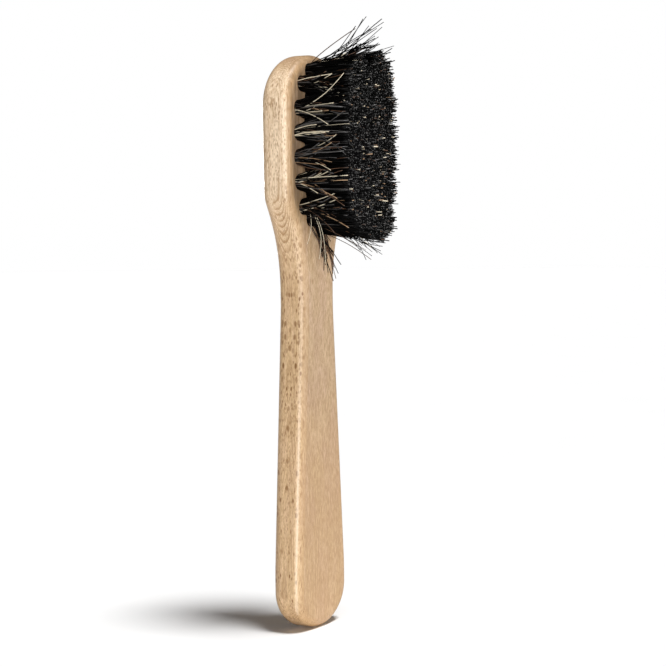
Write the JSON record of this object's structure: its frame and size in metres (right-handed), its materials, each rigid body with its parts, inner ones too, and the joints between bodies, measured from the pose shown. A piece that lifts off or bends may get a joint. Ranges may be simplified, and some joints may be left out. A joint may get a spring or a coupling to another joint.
{
  "type": "body dry brush",
  "caption": "Short-handled body dry brush: one-piece beech paddle with staggered wire-anchored tufts of dark natural bristle on the head.",
  "frame": {"origin": "middle of the flat back of the wood, halfway along the brush and halfway across it", "axes": "+Z along the brush, up towards the head's round end; the bristles point to -Y, the front; +X across the head, to the right when it is seen from the front"},
  "size_m": [0.0426, 0.0321, 0.2],
  "materials": {
    "beech": "fine-sanded, uncoated satin beech",
    "bristle": "black natural hair with some brown and cream hairs, soft sheen",
    "anchor_wire": "flat drawn wire"
  },
  "bodies": {
    "root": {"anchors_row_a": "anchor_wire", "anchors_row_b": "anchor_wire", "anchors_row_c": "anchor_wire", "anchors_row_d": "anchor_wire", "anchors_row_e": "anchor_wire", "brush_body": "beech", "tuft_a1": "bristle", "tuft_a2": "bristle", "tuft_a3": "bristle", "tuft_a4": "bristle", "tuft_a5": "bristle", "tuft_a6": "bristle", "tuft_b1": "bristle", "tuft_b2": "bristle", "tuft_b3": "bristle", "tuft_b4": "bristle", "tuft_b5": "bristle", "tuft_b6": "bristle", "tuft_b7": "bristle", "tuft_c1": "bristle", "tuft_c2": "bristle", "tuft_c3": "bristle", "tuft_c4": "bristle", "tuft_c5": "bristle", "tuft_c6": "bristle", "tuft_c7": "bristle", "tuft_d1": "bristle", "tuft_d2": "bristle", "tuft_d3": "bristle", "tuft_d4": "bristle", "tuft_d5": "bristle", "tuft_d6": "bristle", "tuft_d7": "bristle", "tuft_e1": "bristle", "tuft_e2": "bristle", "tuft_e3": "bristle", "tuft_e4": "bristle", "tuft_e5": "bristle", "tuft_e6": "bristle"}
  },
  "joints": []
}
